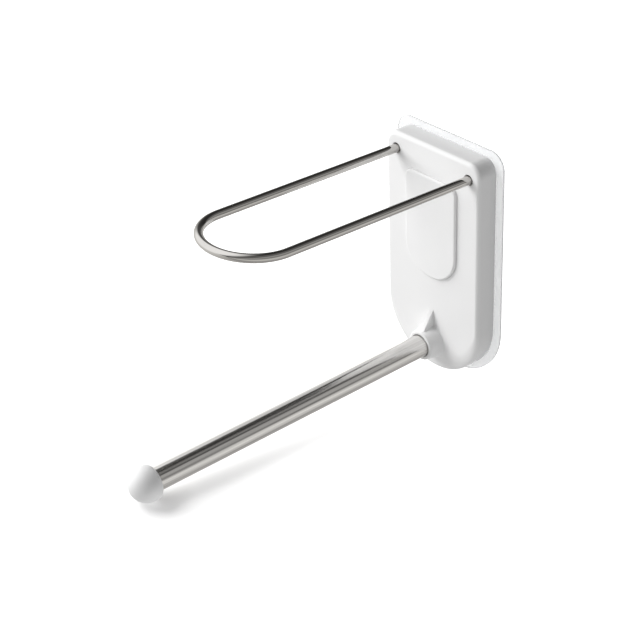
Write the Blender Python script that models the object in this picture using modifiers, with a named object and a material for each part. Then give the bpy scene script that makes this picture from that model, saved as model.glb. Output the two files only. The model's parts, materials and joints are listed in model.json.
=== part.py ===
"""Wall paper towel holder: a steel tube for the roll and a wire towel loop on a white housing.

The frame: the origin is the centre of the adhesive face on the wall, -Y points out of the wall,
+X is to the right as seen from the room and +Z is up. A depth is a distance out of the wall,
so a point at depth d has y = -d. Lengths are in metres.
"""

import math

import bmesh
import bpy
from mathutils import Matrix

# Gaps between pieces that touch, and between bonded layers
GAP = 0.0003
LAYER_GAP = 0.0001

# How far a cutter reaches past the material it cuts
OVERRUN = 0.002

# Wire loop
WIRE_SPACING = 0.068
WIRE_RADIUS = 0.00305
WIRE_Z = 0.071
LOOP_REACH = 0.184
NOSE_LENGTH = 0.032
LOOP_RISE = math.radians(2.15)

# Roll tube
TUBE_Z = WIRE_Z - 0.136
TUBE_RADIUS = 0.008
TUBE_WALL = 0.0008
TUBE_LENGTH_OUT = 0.2410

# Layers behind the housing, from the wall outwards
GEL_THICKNESS = 0.0006
SHEET_THICKNESS = 0.0015
BOND_THICKNESS = 0.0008
MOUNT_THICKNESS = 0.0020
SHEET_HALF_WIDTH = 0.0498
SHEET_HEIGHT = 0.176
SHEET_TOP_RADIUS = 0.012
SHEET_BOTTOM_RADIUS = 0.042
GEL_MARGIN = 0.001
BOND_MARGIN = 0.0015

# Housing
HOUSING_HALF_WIDTH = 0.0440
HOUSING_TOP = WIRE_Z + 0.012
HOUSING_ARC_Z = WIRE_Z - 0.115
HOUSING_ARC_DROP = 0.0422
HOUSING_DEPTH = 0.0158
HOUSING_TOP_RADIUS = 0.010
HOUSING_WALL = 0.0022
EDGE_ROUNDING = 0.0030
BOTTOM_ROUNDING = 0.0140
HOUSING_REAR = GEL_THICKNESS + LAYER_GAP + SHEET_THICKNESS + GAP
HOUSING_FRONT = HOUSING_REAR + HOUSING_DEPTH
HOUSING_INSIDE = HOUSING_FRONT - HOUSING_WALL

# Collar and gusset round the roll tube
COLLAR_LENGTH = 0.0115
COLLAR_RIM_RADIUS = 0.0108
COLLAR_BASE_RADIUS = 0.0122
COLLAR_RIM_ROUNDING = 0.0008
COLLAR_BORE_RADIUS = TUBE_RADIUS + GAP
SOCKET_RADIUS = 0.0110
GUSSET_TOP = WIRE_Z - 0.111
GUSSET_REACH = 0.0092
GUSSET_HALF_WIDTH = 0.0019

# Sockets for the wire ends
WIRE_HOLE_RADIUS = 0.00365
WIRE_SOCKET_RADIUS = 0.0063
WIRE_SOCKET_BORE = 0.0047
BUSH_OUTER_RADIUS = WIRE_SOCKET_BORE - GAP
BUSH_INNER_RADIUS = WIRE_RADIUS + GAP

# Ribs on the inside of the front wall: two upright and two across, given by their lower edges
RIB_THICKNESS = 0.0015
RIB_REAR = 0.0135
UPRIGHT_RIB_X = 0.0132
UPRIGHT_RIB_BOTTOM = -0.052
UPRIGHT_RIB_TOP = 0.066
CROSS_RIB_HALF_WIDTH = 0.0428
CROSS_RIB_ZS = (0.0145, -0.0420)

# Front cover
COVER_HALF_WIDTH = 0.0238
COVER_TOP = WIRE_Z - 0.0098
COVER_BOTTOM = WIRE_Z - 0.0852
COVER_TOP_RADIUS = 0.006
COVER_BOTTOM_RADIUS = 0.0225
COVER_PROUD = 0.0020
COVER_EDGE = 0.0012
COVER_RECESS = 0.0012
TAPE_THICKNESS = 0.0004
TAPE_MARGIN = 0.003

# Chassis plate inside the housing
CHASSIS_REAR = 0.0090
CHASSIS_THICKNESS = 0.0012
CHASSIS_FRONT = CHASSIS_REAR + CHASSIS_THICKNESS
CHASSIS_HALF_WIDTH = 0.0395
CHASSIS_TOP = WIRE_Z + 0.007
CHASSIS_TOP_RADIUS = 0.006
CHASSIS_WIRE_HOLE = 0.0020
CHASSIS_TUBE_HOLE = 0.0029
CHASSIS_WINDOW_RADIUS = 0.0085
CHASSIS_WINDOW_ZS = (0.050, 0.022, -0.006, -0.034)
SEAT = CHASSIS_FRONT + GAP
BUSH_END = HOUSING_INSIDE - 0.0008

# Keyhole studs and slots
STUD_X = 0.021
STUD_ZS = (0.042, -0.032)
STUD_NECK_RADIUS = 0.0025
STUD_HEAD_RADIUS = 0.0042
STUD_TAIL_RADIUS = 0.0020
STUD_FLANGE = 0.0008
STUD_HEAD_THICKNESS = 0.0015
STUD_HEAD_GAP = 0.0005
SLOT_CLEARANCE = 0.0004
KEYHOLE_RADIUS = STUD_HEAD_RADIUS + 0.0006
KEYHOLE_DROP = 0.009

# Mount plate that carries the studs
MOUNT_HALF_WIDTH = 0.029
MOUNT_TOP = 0.055
MOUNT_BOTTOM = -0.045
MOUNT_RADIUS = 0.008

# Screws into the housing's bosses, as (x, z) on the right half
BOSS_PLACES = ((0.036, 0.052), (0.036, -0.006), (0.026, -0.066))
BOSS_RADIUS = 0.0034
BOSS_BORE = 0.00175
BOSS_BORE_DEPTH = 0.0150

# Screws as (head radius, head height, shank radius, shank length)
CHASSIS_SCREW = (0.0030, 0.0016, 0.00145, 0.0058)
WIRE_SCREW = (0.0032, 0.0022, 0.0015, 0.0095)
TUBE_SCREW = (0.0046, 0.0027, 0.0025, 0.0160)
WIRE_THREAD_DEPTH = 0.008
SPLIT_HALF_WIDTH = 0.0003
SPLIT_SLANT = math.radians(20)

# Washers as (outer radius, inner radius, thickness)
WIRE_WASHER = (0.0042, 0.0018, 0.0008)
WIRE_LOCK_WASHER = (0.0030, 0.0018, 0.0010)
TUBE_WASHER = (0.0070, 0.0028, 0.0010)
TUBE_LOCK_WASHER = (0.0046, 0.0028, 0.0012)

# Threaded plug in the rear end of the tube
PLUG_LENGTH = 0.018
PLUG_CHAMFER = 0.0006

# End cap: a ball cut flat on its tube side
CAP_RADIUS = 0.0121
CAP_FLAT = 0.0050
CAP_RIM_ROUNDING = 0.0006
CAP_SPIGOT_LENGTH = 0.014
CAP_SPIGOT_WALL = 0.0016
CAP_GROOVE_DEPTH = 0.0010
CAP_GROOVE_AT = 0.0085
CAP_SPIGOT_CHAMFER = 0.0008
CAP_HOLLOW_DEPTH = 0.0012
RING_RADIUS = 0.0008

# Directions for turned parts
OUTWARDS = Matrix.Rotation(math.radians(90), 4, "X")
SIDEWAYS = Matrix(((0, 0, -1, 0), (-1, 0, 0, 0), (0, 1, 0, 0), (0, 0, 0, 1)))

ROUND_STEPS = 40
SMALL_STEPS = 20
SMOOTH_BELOW = math.radians(35)
WELD = 0.00001


def at(x, depth, z):
    """The matrix that puts a piece with its own Z pointing out of the wall at x, depth and z."""
    return Matrix.Translation((x, -depth, z)) @ OUTWARDS


def clear_scene():
    for found in list(bpy.data.objects):
        bpy.data.objects.remove(found)


def new_collection(name):
    made = bpy.data.collections.new(name)
    bpy.context.scene.collection.children.link(made)
    return made


def material(name, colour, roughness, metallic=0.0, alpha=1.0):
    made = bpy.data.materials.new(name)
    made.use_nodes = True
    shader = made.node_tree.nodes["Principled BSDF"]
    shader.inputs["Base Color"].default_value = (*colour, 1.0)
    shader.inputs["Roughness"].default_value = roughness
    shader.inputs["Metallic"].default_value = metallic
    shader.inputs["Alpha"].default_value = alpha
    return made


def new_object(name, data):
    made = bpy.data.objects.new(name, data)
    WORK.objects.link(made)
    return made


def settled(made):
    """Applies the modifiers of an object and returns it as one welded mesh, shaded smooth."""
    bpy.context.view_layer.update()
    graph = bpy.context.evaluated_depsgraph_get()
    mesh = bpy.data.meshes.new_from_object(made.evaluated_get(graph))
    shape = bmesh.new()
    shape.from_mesh(mesh)
    bmesh.ops.remove_doubles(shape, verts=shape.verts, dist=WELD)
    bmesh.ops.recalc_face_normals(shape, faces=shape.faces)
    shape.to_mesh(mesh)
    shape.free()
    mesh.shade_smooth()
    mesh.set_sharp_from_angle(angle=SMOOTH_BELOW)
    name, place = made.name, made.matrix_world.copy()
    bpy.data.objects.remove(made)
    solid = new_object(name, mesh)
    solid.matrix_world = place
    return solid


def boolean(target, tool, operation):
    step = target.modifiers.new(tool.name, "BOOLEAN")
    step.operation = operation
    step.solver = "EXACT"
    step.object = tool
    WORK.objects.unlink(tool)
    CUTTERS.objects.link(tool)
    tool.hide_render = True
    tool.display_type = "WIRE"


def cut(target, *tools):
    for tool in tools:
        boolean(target, tool, "DIFFERENCE")


def join(target, *tools):
    for tool in tools:
        boolean(target, tool, "UNION")


def finish(made, finish_material, body):
    """Settles a piece, gives it its material and moves it to the part's collection and body."""
    solid = settled(made)
    solid.data.materials.clear()
    solid.data.materials.append(finish_material)
    WORK.objects.unlink(solid)
    PART.objects.link(solid)
    place = solid.matrix_world.copy()
    solid.parent = body
    solid.matrix_parent_inverse = body.matrix_world.inverted()
    solid.matrix_world = place
    return solid


def arc(centre_x, centre_z, radius_x, radius_z, start, end, steps):
    """Points on an ellipse's arc between two angles in degrees, both ends included."""
    points = []
    for step in range(steps + 1):
        angle = math.radians(start + (end - start) * step / steps)
        points.append((centre_x + radius_x * math.cos(angle), centre_z + radius_z * math.sin(angle)))
    return points


def tab_outline(half_width, top, bottom, top_radius, bottom_x, bottom_z, steps=6, bottom_steps=14):
    """A tall outline with round top corners and larger, elliptical bottom corners."""
    right, low = half_width - bottom_x, bottom + bottom_z
    side, high = half_width - top_radius, top - top_radius
    points = arc(right, low, bottom_x, bottom_z, -90, 0, bottom_steps)
    points += arc(side, high, top_radius, top_radius, 0, 90, steps)
    points += arc(-side, high, top_radius, top_radius, 90, 180, steps)
    points += arc(-right, low, bottom_x, bottom_z, 180, 270, bottom_steps)
    if right < WELD:
        points.pop()
    return points


def keyhole_outline(x, z):
    """A slot that holds a stud at its top end and opens into a round hole for its head below."""
    slot = STUD_NECK_RADIUS + SLOT_CLEARANCE
    hole_z = z - KEYHOLE_DROP
    meeting = math.degrees(math.acos(slot / KEYHOLE_RADIUS))
    points = arc(x, z, slot, slot, 0, 180, 8)
    points += arc(x, hole_z, KEYHOLE_RADIUS, KEYHOLE_RADIUS, 180 - meeting, 360 + meeting, 18)
    return points


def flat_piece(name, outlines, near, far, place=None):
    """A plate with flat outlines, from depth near to depth far."""
    curve = bpy.data.curves.new(name, "CURVE")
    curve.dimensions = "2D"
    curve.fill_mode = "BOTH"
    curve.extrude = (far - near) / 2
    for outline in outlines:
        spline = curve.splines.new("POLY")
        spline.points.add(len(outline) - 1)
        spline.use_cyclic_u = True
        for point, (across, up) in zip(spline.points, outline):
            point.co = (across, up, 0.0, 1.0)
    made = new_object(name, curve)
    made.matrix_world = place or at(0.0, (near + far) / 2, 0.0)
    return settled(made)


def turned(name, profile, place, closed=False, steps=ROUND_STEPS):
    """A piece turned about its own Z axis from (radius, height) points, outer side from the top down."""
    mesh = bpy.data.meshes.new(name)
    corners = [(radius, 0.0, height) for radius, height in profile]
    edges = [(index, index + 1) for index in range(len(corners) - 1)]
    if closed:
        edges.append((len(corners) - 1, 0))
    mesh.from_pydata(corners, edges, [])
    made = new_object(name, mesh)
    made.matrix_world = place
    screw = made.modifiers.new("Screw", "SCREW")
    screw.steps = steps
    screw.render_steps = steps
    screw.use_merge_vertices = True
    screw.merge_threshold = WELD
    return settled(made)


def rod(name, radius, length, place, steps=ROUND_STEPS):
    """A round bar from height 0 to its length along its own Z axis."""
    profile = [(0.0, length), (radius, length), (radius, 0.0), (0.0, 0.0)]
    return turned(name, profile, place, steps=steps)


def ring(name, outer, inner, length, place, steps=ROUND_STEPS):
    profile = [(outer, length), (outer, 0.0), (inner, 0.0), (inner, length)]
    return turned(name, profile, place, closed=True, steps=steps)


def box(name, low, high):
    """A box between two corners given as (x, depth, z)."""
    shape = bmesh.new()
    bmesh.ops.create_cube(shape, size=1.0)
    spans = [high[axis] - low[axis] for axis in range(3)]
    middle = [(high[axis] + low[axis]) / 2 for axis in range(3)]
    place = Matrix.Translation((middle[0], -middle[1], middle[2])) @ Matrix.Diagonal((*spans, 1.0))
    bmesh.ops.transform(shape, matrix=place, verts=shape.verts)
    mesh = bpy.data.meshes.new(name)
    shape.to_mesh(mesh)
    shape.free()
    return new_object(name, mesh)


def copies(name, source, places):
    """Separate objects, one at each place, that share the source's mesh."""
    mesh = source.data
    bpy.data.objects.remove(source)
    made = []
    for index, place in enumerate(places, 1):
        label = f"{name}_{index}" if len(places) > 1 else name
        piece = new_object(label, mesh)
        piece.matrix_world = place
        made.append(piece)
    return made


def screw_piece(name, head_radius, head_height, shank_radius, shank_length):
    """A pan head screw with a cross recess: its head is below height 0 and its shank above it."""
    shoulder = head_height * 0.45
    profile = [
        (0.0, shank_length),
        (shank_radius * 0.7, shank_length),
        (shank_radius, shank_length - shank_radius * 0.5),
        (shank_radius, 0.0),
        (head_radius, 0.0),
        (head_radius, -shoulder),
        (head_radius * 0.85, -head_height * 0.85),
        (head_radius * 0.5, -head_height),
        (0.0, -head_height),
    ]
    made = turned(name, profile, Matrix.Identity(4), steps=SMALL_STEPS)
    reach, half, floor = head_radius * 0.55, head_radius * 0.11, head_height * 0.45
    for label, span_x, span_y in (("_slot_x", reach, half), ("_slot_y", half, reach)):
        low = (-span_x, -span_y, -head_height * 1.5)
        cut(made, box(name + label, low, (span_x, span_y, -floor)))
    return settled(made)


def spring_washer(name, outer, inner, thickness):
    """A split ring washer, open by a narrow slanted gap."""
    made = ring(name, outer, inner, thickness, Matrix.Identity(4), steps=SMALL_STEPS)
    low = (inner * 0.5, -SPLIT_HALF_WIDTH, -thickness)
    gap = box(name + "_split", low, (outer * 1.2, SPLIT_HALF_WIDTH, thickness * 2))
    gap.matrix_world = Matrix.Rotation(SPLIT_SLANT, 4, "X")
    cut(made, gap)
    return settled(made)


def housing_outline(inset):
    """The housing's outline as (x, z, outward x, outward z, share of the way round to the bottom)."""
    bottom = HOUSING_ARC_Z - HOUSING_ARC_DROP
    points = tab_outline(
        HOUSING_HALF_WIDTH,
        HOUSING_TOP,
        bottom,
        HOUSING_TOP_RADIUS,
        HOUSING_HALF_WIDTH,
        HOUSING_ARC_DROP,
        steps=7,
        bottom_steps=18,
    )
    found = []
    for index, (x, z) in enumerate(points):
        before, after = points[index - 1], points[(index + 1) % len(points)]
        along_x, along_z = after[0] - before[0], after[1] - before[1]
        length = math.hypot(along_x, along_z)
        out_x, out_z = along_z / length, -along_x / length
        low = max(0.0, (HOUSING_ARC_Z - z) / HOUSING_ARC_DROP)
        found.append((x - out_x * inset, z - out_z * inset, out_x, out_z, low))
    return found


def housing_ring(shape, inset, depth, share=0.0, less=0.0):
    """One ring of the housing's shell. Share runs from 0 at the side wall to 1 at the front face."""
    corners = []
    for x, z, out_x, out_z, low in housing_outline(inset):
        rounding = EDGE_ROUNDING + (BOTTOM_ROUNDING - EDGE_ROUNDING) * low - less
        corners.append(shape.verts.new((x - out_x * rounding * share, -depth, z - out_z * rounding * share)))
    return corners


def bridge(shape, first, second):
    for index in range(len(first)):
        following = (index + 1) % len(first)
        shape.faces.new((first[index], first[following], second[following], second[index]))


def shell_rings(shape, inset, front, rounding_depth, less, steps):
    rings = [housing_ring(shape, inset, HOUSING_REAR)]
    for step in range(steps + 1):
        angle = math.radians(90) * step / steps
        depth = front - rounding_depth * (1 - math.sin(angle))
        rings.append(housing_ring(shape, inset, depth, 1 - math.cos(angle), less))
    for first, second in zip(rings, rings[1:]):
        bridge(shape, first, second)
    shape.faces.new(rings[-1])
    return rings[0]


def housing_shell():
    """The open-backed shell: an outer and an inner loft that meet at the rear rim."""
    shape = bmesh.new()
    outer = shell_rings(shape, 0.0, HOUSING_FRONT, EDGE_ROUNDING, 0.0, 6)
    inner = shell_rings(shape, HOUSING_WALL, HOUSING_INSIDE, EDGE_ROUNDING / 2, HOUSING_WALL / 2, 2)
    bridge(shape, outer, inner)
    bmesh.ops.recalc_face_normals(shape, faces=shape.faces)
    mesh = bpy.data.meshes.new("housing")
    shape.to_mesh(mesh)
    shape.free()
    return new_object("housing", mesh)


def both_sides(places):
    return [(side * x, z) for x, z in places for side in (1, -1)]


def ribs(front):
    """Two upright ribs and two across, on the inside of the front wall."""
    upright = (RIB_REAR, UPRIGHT_RIB_BOTTOM), (front, UPRIGHT_RIB_TOP)
    spans = []
    for low_x in (-UPRIGHT_RIB_X - RIB_THICKNESS, UPRIGHT_RIB_X):
        spans.append(((low_x, *upright[0]), (low_x + RIB_THICKNESS, *upright[1])))
    for low_z in CROSS_RIB_ZS:
        low = (-CROSS_RIB_HALF_WIDTH, RIB_REAR, low_z)
        spans.append((low, (CROSS_RIB_HALF_WIDTH, front, low_z + RIB_THICKNESS)))
    return [box("rib_" + str(index), low, high) for index, (low, high) in enumerate(spans)]


def housing():
    made = housing_shell()
    overlap = HOUSING_WALL / 2
    inner_face = HOUSING_INSIDE + overlap
    socket_length = inner_face - SEAT
    cut_from = SEAT - OVERRUN
    join(made, *ribs(inner_face))
    for index, (x, z) in enumerate(both_sides(BOSS_PLACES)):
        place = at(x, SEAT, z)
        join(made, rod("boss_" + str(index), BOSS_RADIUS, socket_length, place, SMALL_STEPS))
    for place in wire_places(SEAT):
        join(made, rod("wire_socket", WIRE_SOCKET_RADIUS, socket_length, place, SMALL_STEPS))
    join(made, rod("tube_socket", SOCKET_RADIUS, socket_length, at(0.0, SEAT, TUBE_Z)))
    base = HOUSING_FRONT - overlap
    join(made, collar(base), gusset(base))
    cut_length = HOUSING_FRONT + COLLAR_LENGTH + OVERRUN - cut_from
    cut(made, rod("tube_bore", COLLAR_BORE_RADIUS, cut_length, at(0.0, cut_from, TUBE_Z)))
    for place in wire_places(cut_from):
        cut(made, wire_bore(place, cut_length))
    pilot_length = BOSS_BORE_DEPTH - cut_from
    for index, (x, z) in enumerate(both_sides(BOSS_PLACES)):
        cut(made, rod("pilot_" + str(index), BOSS_BORE, pilot_length, at(x, cut_from, z), 12))
    recess_from = HOUSING_FRONT - COVER_RECESS
    cut(made, flat_piece("cover_recess", [cover_outline(-GAP)], recess_from, HOUSING_FRONT + OVERRUN))
    return made


def wire_bore(place, length):
    """The hole for the wire in the front wall, with the bush's wider bore behind it."""
    step = BUSH_END + GAP - SEAT + OVERRUN
    profile = [
        (0.0, length),
        (WIRE_HOLE_RADIUS, length),
        (WIRE_HOLE_RADIUS, step),
        (WIRE_SOCKET_BORE, step),
        (WIRE_SOCKET_BORE, 0.0),
        (0.0, 0.0),
    ]
    return turned("wire_bore", profile, place, steps=SMALL_STEPS)


def collar(base):
    """The tapered collar that the roll tube comes out of, with a rounded rim."""
    length = HOUSING_FRONT + COLLAR_LENGTH - base
    rim = COLLAR_RIM_ROUNDING
    profile = [
        (0.0, length),
        (COLLAR_RIM_RADIUS - rim, length),
        (COLLAR_RIM_RADIUS - rim * 0.3, length - rim * 0.3),
        (COLLAR_RIM_RADIUS, length - rim),
        (COLLAR_BASE_RADIUS, 0.0),
        (0.0, 0.0),
    ]
    return turned("collar", profile, at(0.0, base, TUBE_Z))


def gusset(base):
    """The triangular rib above the collar."""
    inside = TUBE_Z + COLLAR_RIM_RADIUS - 0.001
    lean = (GUSSET_TOP - TUBE_Z - COLLAR_RIM_RADIUS) / GUSSET_REACH
    overlap = HOUSING_FRONT - base
    outline = [
        (base, inside),
        (HOUSING_FRONT + GUSSET_REACH, inside),
        (HOUSING_FRONT + GUSSET_REACH, TUBE_Z + COLLAR_RIM_RADIUS),
        (base, GUSSET_TOP + lean * overlap),
    ]
    return flat_piece("gusset", [outline], 0.0, GUSSET_HALF_WIDTH * 2, SIDEWAYS)


def cover_outline(inset):
    return tab_outline(
        COVER_HALF_WIDTH - inset,
        COVER_TOP - inset,
        COVER_BOTTOM + inset,
        COVER_TOP_RADIUS - inset,
        COVER_BOTTOM_RADIUS - inset,
        COVER_BOTTOM_RADIUS - inset,
        bottom_steps=10,
    )


def front_cover():
    rear = HOUSING_FRONT - COVER_RECESS + TAPE_THICKNESS + 2 * LAYER_GAP
    made = flat_piece("front_cover", [cover_outline(0.0)], rear, HOUSING_FRONT + COVER_PROUD)
    bevel = made.modifiers.new("Bevel", "BEVEL")
    bevel.width = COVER_EDGE
    bevel.segments = 3
    bevel.limit_method = "ANGLE"
    bevel.angle_limit = math.radians(50)
    return made


def cover_tape():
    floor = HOUSING_FRONT - COVER_RECESS + LAYER_GAP
    return flat_piece("cover_tape", [cover_outline(TAPE_MARGIN)], floor, floor + TAPE_THICKNESS)


def sheet_outline(inset):
    half_height = SHEET_HEIGHT / 2 - inset
    return tab_outline(
        SHEET_HALF_WIDTH - inset,
        half_height,
        -half_height,
        SHEET_TOP_RADIUS - inset,
        SHEET_BOTTOM_RADIUS - inset,
        SHEET_BOTTOM_RADIUS - inset,
    )


def mount_outline(inset):
    radius = MOUNT_RADIUS - inset
    return tab_outline(
        MOUNT_HALF_WIDTH - inset,
        MOUNT_TOP - inset,
        MOUNT_BOTTOM + inset,
        radius,
        radius,
        radius,
        bottom_steps=6,
    )


def stud_places():
    return both_sides([(STUD_X, z) for z in STUD_ZS])


def circle_outline(x, z, radius, steps=SMALL_STEPS):
    return arc(x, z, radius, radius, 0, 360, steps)[:-1]


def mount_plate(near):
    holes = [circle_outline(x, z, STUD_TAIL_RADIUS + GAP) for x, z in stud_places()]
    return flat_piece("mount_plate", [mount_outline(0.0), *holes], near, near + MOUNT_THICKNESS)


def hook_studs(plate_near):
    """Shoulder studs riveted in the mount plate, with heads in front of the chassis plate."""
    front = plate_near + MOUNT_THICKNESS + GAP
    head = CHASSIS_FRONT + STUD_HEAD_GAP - front
    tail = front - (plate_near + LAYER_GAP)
    profile = [
        (0.0, head + STUD_HEAD_THICKNESS),
        (STUD_HEAD_RADIUS * 0.8, head + STUD_HEAD_THICKNESS),
        (STUD_HEAD_RADIUS, head + STUD_HEAD_THICKNESS * 0.6),
        (STUD_HEAD_RADIUS, head),
        (STUD_NECK_RADIUS, head),
        (STUD_NECK_RADIUS, STUD_FLANGE),
        (STUD_HEAD_RADIUS, STUD_FLANGE),
        (STUD_HEAD_RADIUS, 0.0),
        (STUD_TAIL_RADIUS, 0.0),
        (STUD_TAIL_RADIUS, -tail),
        (0.0, -tail),
    ]
    source = turned("stud", profile, Matrix.Identity(4), steps=SMALL_STEPS)
    return copies("hook_stud", source, [at(x, front, z) for x, z in stud_places()])


def chassis_plate():
    """The steel plate that carries the wire and the tube, with keyholes for the studs."""
    outline = tab_outline(
        CHASSIS_HALF_WIDTH,
        CHASSIS_TOP,
        HOUSING_ARC_Z - CHASSIS_HALF_WIDTH,
        CHASSIS_TOP_RADIUS,
        CHASSIS_HALF_WIDTH,
        CHASSIS_HALF_WIDTH,
    )
    holes = [keyhole_outline(x, z) for x, z in stud_places()]
    holes += [circle_outline(x, z, BOSS_BORE) for x, z in both_sides(BOSS_PLACES)]
    wire_places_flat = both_sides([(WIRE_SPACING / 2, WIRE_Z)])
    holes += [circle_outline(x, z, CHASSIS_WIRE_HOLE) for x, z in wire_places_flat]
    holes.append(circle_outline(0.0, TUBE_Z, CHASSIS_TUBE_HOLE))
    holes += [circle_outline(0.0, z, CHASSIS_WINDOW_RADIUS) for z in CHASSIS_WINDOW_ZS]
    return flat_piece("chassis_plate", [outline, *holes], CHASSIS_REAR, CHASSIS_FRONT)


def chassis_screws():
    source = screw_piece("chassis_screw", *CHASSIS_SCREW)
    places = [at(x, CHASSIS_REAR - GAP, z) for x, z in both_sides(BOSS_PLACES)]
    return copies("chassis_screw", source, places)


def loop_path():
    """Centre line of the wire: straight in the housing, rising legs, and an elliptical nose."""
    half = WIRE_SPACING / 2
    straight = LOOP_REACH - NOSE_LENGTH
    flat = [(half, -SEAT), (half, -HOUSING_FRONT), (half, -HOUSING_FRONT - straight / 2)]
    for angle_x, angle_y in arc(0.0, 0.0, half, NOSE_LENGTH, 0, 180, 28):
        flat.append((angle_x, -HOUSING_FRONT - straight - angle_y))
    flat += [(-x, y) for x, y in reversed(flat[:3])]
    rise = math.tan(LOOP_RISE)
    return [(x, y, WIRE_Z + max(0.0, -HOUSING_FRONT - y) * rise) for x, y in flat]


def wire_loop():
    curve = bpy.data.curves.new("wire_loop", "CURVE")
    curve.dimensions = "3D"
    curve.bevel_depth = WIRE_RADIUS
    curve.bevel_resolution = 4
    curve.use_fill_caps = True
    spline = curve.splines.new("POLY")
    path = loop_path()
    spline.points.add(len(path) - 1)
    for point, place in zip(spline.points, path):
        point.co = (*place, 1.0)
    made = settled(new_object("wire_loop", curve))
    thread_radius = WIRE_SCREW[2] + GAP
    for place in wire_places(SEAT - OVERRUN):
        cut(made, rod("wire_thread", thread_radius, WIRE_THREAD_DEPTH + OVERRUN, place, 12))
    return made


def wire_bushes():
    length = BUSH_END - SEAT - GAP
    source = ring("bush", BUSH_OUTER_RADIUS, BUSH_INNER_RADIUS, length, Matrix.Identity(4), SMALL_STEPS)
    return copies("wire_bush", source, wire_places(SEAT + GAP))


def wire_places(depth):
    return [at(side * WIRE_SPACING / 2, depth, WIRE_Z) for side in (-1, 1)]


def tube_places(depth):
    return [at(0.0, depth, TUBE_Z)]


def fixing(prefix, places_at, screw, washer, lock):
    """A screw with a flat and a split washer behind the chassis plate, from it towards the wall.

    screw is (head radius, head height, shank radius, shank length); washer and lock are
    (outer radius, inner radius, thickness).
    """
    washer_at = CHASSIS_REAR - GAP - washer[2]
    lock_at = washer_at - GAP - lock[2]
    head_at = lock_at - GAP
    flat = ring("washer", *washer, Matrix.Identity(4), SMALL_STEPS)
    split = spring_washer("lock", *lock)
    bolt = screw_piece("bolt", *screw)
    return [
        *copies(prefix + "_washer", flat, places_at(washer_at)),
        *copies(prefix + "_lock_washer", split, places_at(lock_at)),
        *copies(prefix + "_screw", bolt, places_at(head_at)),
    ]


def tube():
    outer, inner = TUBE_RADIUS, TUBE_RADIUS - TUBE_WALL
    length = HOUSING_FRONT + TUBE_LENGTH_OUT - GAP - SEAT
    return ring("tube", outer, inner, length, at(0.0, SEAT, TUBE_Z), steps=48)


def tube_plug():
    """The threaded plug pressed into the rear end of the tube."""
    radius = TUBE_RADIUS - TUBE_WALL - GAP
    bore = TUBE_SCREW[2] + GAP
    profile = [
        (radius - PLUG_CHAMFER, PLUG_LENGTH),
        (radius, PLUG_LENGTH - PLUG_CHAMFER),
        (radius, 0.0),
        (bore, 0.0),
        (bore, PLUG_LENGTH),
    ]
    return turned("tube_plug", profile, at(0.0, SEAT, TUBE_Z), closed=True)


def end_cap():
    """A ball cut flat towards the tube, with a hollow grooved spigot that pushes into the tube."""
    flat_radius = math.sqrt(CAP_RADIUS**2 - CAP_FLAT**2)
    start = math.degrees(math.asin(CAP_FLAT / CAP_RADIUS))
    profile = arc(0.0, CAP_FLAT, CAP_RADIUS, CAP_RADIUS, 90, -start + 4, 14)
    profile[0] = (0.0, profile[0][1])
    profile.append((flat_radius - CAP_RIM_ROUNDING, 0.0))
    spigot = TUBE_RADIUS - TUBE_WALL - GAP
    groove, half = spigot - CAP_GROOVE_DEPTH, RING_RADIUS + GAP
    profile += [
        (spigot, 0.0),
        (spigot, -CAP_GROOVE_AT + half),
        (groove, -CAP_GROOVE_AT + half),
        (groove, -CAP_GROOVE_AT - half),
        (spigot, -CAP_GROOVE_AT - half),
        (spigot, -CAP_SPIGOT_LENGTH + CAP_SPIGOT_CHAMFER),
        (spigot - CAP_SPIGOT_CHAMFER, -CAP_SPIGOT_LENGTH),
        (groove - CAP_SPIGOT_WALL, -CAP_SPIGOT_LENGTH),
        (groove - CAP_SPIGOT_WALL, 0.0),
        (0.0, CAP_HOLLOW_DEPTH),
    ]
    return turned("end_cap", profile, at(0.0, HOUSING_FRONT + TUBE_LENGTH_OUT, TUBE_Z), steps=36)


def cap_ring():
    """The rubber ring in the spigot's groove that grips the inside of the tube."""
    groove = TUBE_RADIUS - TUBE_WALL - GAP - CAP_GROOVE_DEPTH
    centre = groove + GAP / 2 + RING_RADIUS
    section = arc(centre, 0.0, RING_RADIUS, RING_RADIUS, 90, -270, 8)[:-1]
    outer = TUBE_RADIUS - TUBE_WALL - LAYER_GAP
    section = [(min(radius, outer), height) for radius, height in section]
    place = at(0.0, HOUSING_FRONT + TUBE_LENGTH_OUT - CAP_GROOVE_AT, TUBE_Z)
    return turned("cap_ring", section, place, closed=True, steps=24)


def body_empty(name, depth, z):
    """An empty that a body's pieces are parented to, on the axis that the body slides along."""
    made = bpy.data.objects.new(name, None)
    PART.objects.link(made)
    made.location = (0.0, -depth, z)
    bpy.context.view_layer.update()
    return made


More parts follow.
